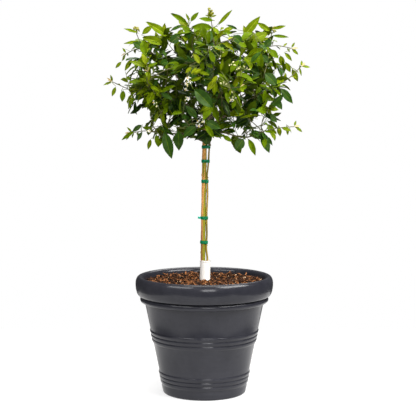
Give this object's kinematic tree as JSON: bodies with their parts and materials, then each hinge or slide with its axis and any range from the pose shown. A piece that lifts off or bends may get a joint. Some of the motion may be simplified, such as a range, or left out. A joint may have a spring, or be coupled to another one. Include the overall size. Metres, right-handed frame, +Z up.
{
  "type": "potted citrus standard tree",
  "caption": "Small citrus tree trained as a standard: slim trunk and second stem tied together, loose rounded crown, in a round tapered pot with beads and a rolled rim.",
  "frame": {"origin": "centre of the pot's flat underside", "axes": "+Z up along the pot's axis, -Y towards the front, +X to the right seen from the front"},
  "size_m": [0.7578, 0.7499, 1.411],
  "materials": {
    "pot": "satin moulded resin, charcoal",
    "soil": "bark mulch over potting mix",
    "sleeve": "white plastic guard tube",
    "tie": "soft green plastic tape",
    "bark": "smooth tan bark with olive streaks",
    "slim_bark": "green-brown young bark",
    "bough_bark": "grey-green bark",
    "foliage": "glossy green leaves on thin twigs, with some white blossom"
  },
  "bodies": {
    "root": {"bough_back_left": "bough_bark", "bough_back_right": "bough_bark", "bough_front_left": "bough_bark", "bough_front_right": "bough_bark", "bough_left": "bough_bark", "bough_low_back": "bough_bark", "bough_low_front": "bough_bark", "bough_low_left": "bough_bark", "bough_low_right": "bough_bark", "bough_right": "bough_bark", "bough_upper_back": "bough_bark", "bough_upper_front": "bough_bark", "bough_upper_left": "bough_bark", "bough_upper_right": "bough_bark", "foliage_back_left": "foliage", "foliage_back_right": "foliage", "foliage_front_left": "foliage", "foliage_front_right": "foliage", "foliage_left": "foliage", "foliage_low_back": "foliage", "foliage_low_front": "foliage", "foliage_low_left": "foliage", "foliage_low_right": "foliage", "foliage_right": "foliage", "foliage_top": "foliage", "foliage_upper_back": "foliage", "foliage_upper_front": "foliage", "foliage_upper_left": "foliage", "foliage_upper_right": "foliage", "pot": "pot", "slim_stem": "slim_bark", "soil": "soil", "tie_1": "tie", "tie_2": "tie", "tie_3": "tie", "tie_4": "tie", "tie_5": "tie", "trunk": "bark", "trunk_sleeve": "sleeve"}
  },
  "joints": []
}
